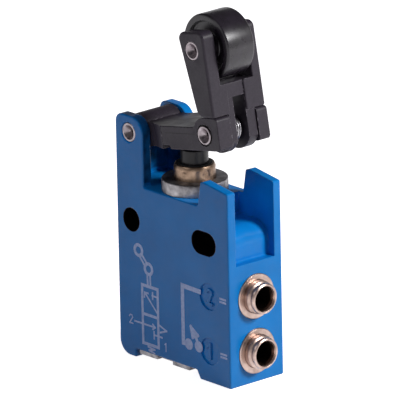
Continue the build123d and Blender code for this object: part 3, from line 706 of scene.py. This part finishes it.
# Roller wheel. A thick acetal tyre with a hollow turned into each face, a hub that stands
# against the arm's cheeks, and a tread with broken edges.
low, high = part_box("roller")
hub_front, hub_back = low[1] * 1000, high[1] * 1000
tread_front, tread_back = -3.375, 3.125
tread = (high[2] - low[2]) * 500
wheel = lathe(
    "roller_turned",
    [
        (hub_front, 1.55, 0.1),
        (hub_front, 2.6, 0.15),
        (tread_front + 0.9, 2.85, 0.35),
        (tread_front + 0.9, 4.75, 0.35),
        (tread_front, 4.9, 0.15),
        (tread_front, tread, 0.45),
        (tread_back, tread, 0.45),
        (tread_back, 4.9, 0.15),
        (tread_back - 0.9, 4.75, 0.35),
        (tread_back - 0.9, 2.85, 0.35),
        (hub_back, 2.6, 0.15),
        (hub_back, 1.55, 0.1),
    ],
    ((low[0] + high[0]) / 2, 0, (low[2] + high[2]) / 2),
    (0, 1, 0),
    black_acetal,
    turns=180,
    steps=7,
)
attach(wheel, "roller")
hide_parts("roller")


# Trip spring. Hard-drawn wire wound round the arm's pin, one leg up inside the arm and
# one along the lever's slot.
def tube(name, path, thickness, material, sides=12):
    """A round wire along a path of points.

    At each point a ring of the wire's radius stands square to the path, its first
    direction being the last one with its part along the path taken out.
    """
    ahead = np.gradient(path, axis=0)
    ahead /= np.linalg.norm(ahead, axis=1)[:, None]
    first = np.zeros_like(path)
    guess = np.array((0.3, 0.9, 0.2))
    for i, way in enumerate(ahead):
        guess = guess - way * (guess @ way)
        guess /= np.linalg.norm(guess)
        first[i] = guess
    second = np.cross(ahead, first)
    angle = np.linspace(0, 2 * math.pi, sides, endpoint=False)
    size = np.full(len(path), thickness / 2)
    size[[0, -1]] = thickness / 200
    rings = (
        path[:, None]
        + (size[:, None] * np.cos(angle))[..., None] * first[:, None]
        + (size[:, None] * np.sin(angle))[..., None] * second[:, None]
    )
    return outward(grid_object(name, rings, False, True, material))


low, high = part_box("trip_spring")
middle = np.array(((low[0] + high[0]) / 2, 0, (low[2] + high[2]) / 2))
coil_radius = (high[2] - low[2]) / 2 - 0.0002
tilt = math.radians(10.5)
lever_way = np.array((math.cos(tilt), 0, math.sin(tilt)))
arm_way = np.array((-math.sin(tilt), 0, math.cos(tilt)))
turn = np.linspace(math.pi, math.pi + 2 * math.pi * 4.25, 260)
depth = np.linspace(low[1] + 0.0002, high[1] - 0.0002, len(turn))
coil = (
    middle
    + coil_radius * np.cos(turn)[:, None] * lever_way
    + coil_radius * np.sin(turn)[:, None] * arm_way
)
coil[:, 1] = depth
up_leg = coil[0] + np.linspace(0.0042, 0.0001, 30)[:, None] * arm_way
down_leg = coil[-1] - np.linspace(0.0001, 0.0024, 20)[:, None] * lever_way
tip = np.vstack([up_leg[:1], up_leg, coil, down_leg, down_leg[-1:]])
tip[0] += arm_way * 0.00001
tip[-1] -= lever_way * 0.00001
trip_spring = tube("trip_spring_wire", tip, 0.0004, spring_wire)
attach(trip_spring, "lever")
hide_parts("trip_spring")


# Inner springs. The two coil springs under the plunger and the poppet, ground flat at their
# ends.
def coil_spring(node, turns, wire):
    """An upright coil in the place of a CAD node; its pitch closes up at both ends.

    The height follows t - 0.8 sin(2 pi t) / (2 pi) over the wire's length t, which is slow
    at both ends.
    """
    low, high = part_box(node)
    t = np.linspace(0, 1, turns * 32)
    rise = t - 0.8 * np.sin(2 * math.pi * t) / (2 * math.pi)
    angle = 2 * math.pi * turns * t
    radius = (high[0] - low[0]) / 2 - wire / 2
    path = np.stack(
        [
            (low[0] + high[0]) / 2 + radius * np.cos(angle),
            (low[1] + high[1]) / 2 + radius * np.sin(angle),
            low[2] + wire / 2 + (high[2] - low[2] - wire) * rise,
        ],
        1,
    )
    new = tube(f"{node}_wire", path, wire, spring_wire)
    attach(new, "case")
    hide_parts(node)
    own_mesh(new)


coil_spring("return_spring", 5, 0.0005)
coil_spring("poppet_spring", 4, 0.0004)


# Print. The valve's symbol and the flow path, pad-printed in pale blue-grey ink on the
# front face: an even, slightly worn film with nothing but generic signs.
ink, tree = new_tree("pale_printing_ink")
place = add_node(tree, "ShaderNodeTexCoord")
tone = ramp(tree, noise(tree, place, 1800, 5), 0.3, 0.6, linear("#A6BFEC"), linear("#C4D7FA"))
film = bumps(tree, noise(tree, place, 5000, 2), 0.1, 0.00001)
finish_tree(tree, {"Roughness": 0.5, "Specular IOR Level": 0.3}, {"Base Color": tone.outputs[0], "Normal": film.outputs[0]})


def strokes(name, lines, body="case", face=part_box("body")[0][1], material=ink):
    """Flat ink strokes on the front face from lines of width, then x, z points, in mm.

    Each straight run becomes a thin raised box, half the width longer at both ends, so
    that the corners close.
    """
    proud = 0.000012
    points = []
    quads = []
    for width, *run in lines:
        for (x0, z0), (x1, z1) in zip(run[:-1], run[1:]):
            way = np.array((x1 - x0, z1 - z0)) / math.hypot(x1 - x0, z1 - z0)
            across = np.array((-way[1], way[0])) * width / 2
            ends = np.array(((x0, z0), (x1, z1))) + np.array((-way, way)) * width / 2
            flat = np.array((ends[0] - across, ends[1] - across, ends[1] + across, ends[0] + across))
            start = len(points)
            for depth in (face - proud, face + proud):
                points += [(x / 1000, depth, z / 1000) for x, z in flat]
            quads.append([start + i for i in (0, 1, 2, 3)])
            quads += [[start + i, start + 4 + i, start + 4 + j, start + j] for i, j in ((0, 1), (1, 2), (2, 3), (3, 0))]
            quads.append([start + i for i in (7, 6, 5, 4)])
            proud += 0.0000002
    mesh = bpy.data.meshes.new(name)
    mesh.from_pydata(points, [], quads)
    mesh.materials.append(material)
    mesh.update()
    new = bpy.data.objects.new(name, mesh)
    scene.collection.objects.link(new)
    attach(new, body)
    return new


def circle(x, z, radius, count=24):
    """Points round a circle, closed."""
    angle = np.linspace(0, 2 * math.pi, count + 1)
    return list(zip(x + radius * np.cos(angle), z + radius * np.sin(angle)))


symbol = [
    (0.6, (2.6, -11.95), (6.9, -11.95), (6.9, -23.2), (2.6, -23.2), (2.6, -11.95)),
    (0.55, (2.6, -17.5), (6.9, -17.5)),
    (0.6, *circle(1.77, -5.5, 1.0)),
    (0.6, *circle(4.49, -8.56, 1.0)),
    (0.45, (2.2, -6.7), (3.55, -8.2)),
    (0.45, (2.75, -6.2), (4.1, -7.55)),
    (0.45, (4.15, -9.7), (4.2, -11.7)),
    (0.45, (4.9, -9.7), (4.95, -11.7)),
    (0.35, (6.7, -16.6), (3.3, -13.3)),
    (0.35, (3.2, -14.2), (3.3, -13.3), (4.2, -13.3)),
    (0.35, (5.4, -13.5), (6.6, -13.5)),
    (0.35, (5.5, -12.9), (5.5, -14.1)),
    (0.35, (0.4, -19.5), (2.4, -19.5)),
    (0.35, (2.9, -19.5), (6.0, -19.5)),
    (0.35, (5.4, -19.05), (6.0, -19.5), (5.4, -19.95)),
    (0.35, (7.3, -18.8), (9.2, -19.45), (7.5, -20.1)),
    (0.35, (5.7, -20.4), (5.7, -21.7)),
    (0.35, (5.7, -21.0), (7.9, -21.0)),
    (0.35, (4.0, -23.7), (5.8, -23.9), (4.2, -24.3), (5.7, -24.6)),
]
strokes("print_symbol", symbol)
digits = [
    (0.26, (-1.15, -18.85), (-0.9, -18.55), (-0.45, -18.55), (-0.25, -18.95), (-1.1, -20.15), (-0.2, -20.15)),
    (0.26, (8.65, -22.15), (8.95, -21.9), (8.95, -23.4)),
]
strokes("print_digits", digits)
flow = [
    (0.9, (13.85, -9.5), (13.85, -20.5)),
    (0.9, (13.85, -9.5), (18.5, -9.6)),
    (1.1, *circle(15.35, -20.45, 0.4)),
    (1.1, *circle(18.1, -20.3, 0.4)),
    (0.7, (17.2, -18.2), (18.0, -20.0)),
    (0.6, (16.0, -16.9), (16.45, -18.9)),
    (0.6, (16.0, -16.9), (17.9, -18.2)),
    (0.8, (16.4, -17.9), (17.4, -18.4)),
    (0.6, (16.45, -18.9), (17.9, -18.2)),
    (0.4, (24.3, -9.6), (25.7, -9.6)),
    (0.4, (24.3, -10.2), (25.7, -10.2)),
    (0.4, (24.3, -20.2), (25.7, -20.2)),
    (0.4, (24.3, -20.8), (25.7, -20.8)),
]
strokes("print_flow", flow)


# Lever's mould line. A hair-fine dark strip runs along the front of the lever, from its flare
# to the trip arm's pin: painted shadow of the step where the two halves of the mould met.
mould_line_shade = soft_black("mould_line_shadow", "#131214", "#0D0C0E", 0.6)


def along_lever(along, up):
    """A point of the level lever, in mm from its pivot, turned to the lever's rest place."""
    low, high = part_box("lever_pivot_pin")
    x = (low[0] + high[0]) * 500 + along * math.cos(tilt) - up * math.sin(tilt)
    z = (low[2] + high[2]) * 500 + along * math.sin(tilt) + up * math.cos(tilt)
    return x, z


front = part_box("lever")[0][1]
line = strokes(
    "lever_mould_line_shadow",
    [(0.09, along_lever(10.2, 0.25), along_lever(18.4, 0.25))],
    "lever",
    front,
    mould_line_shade,
)
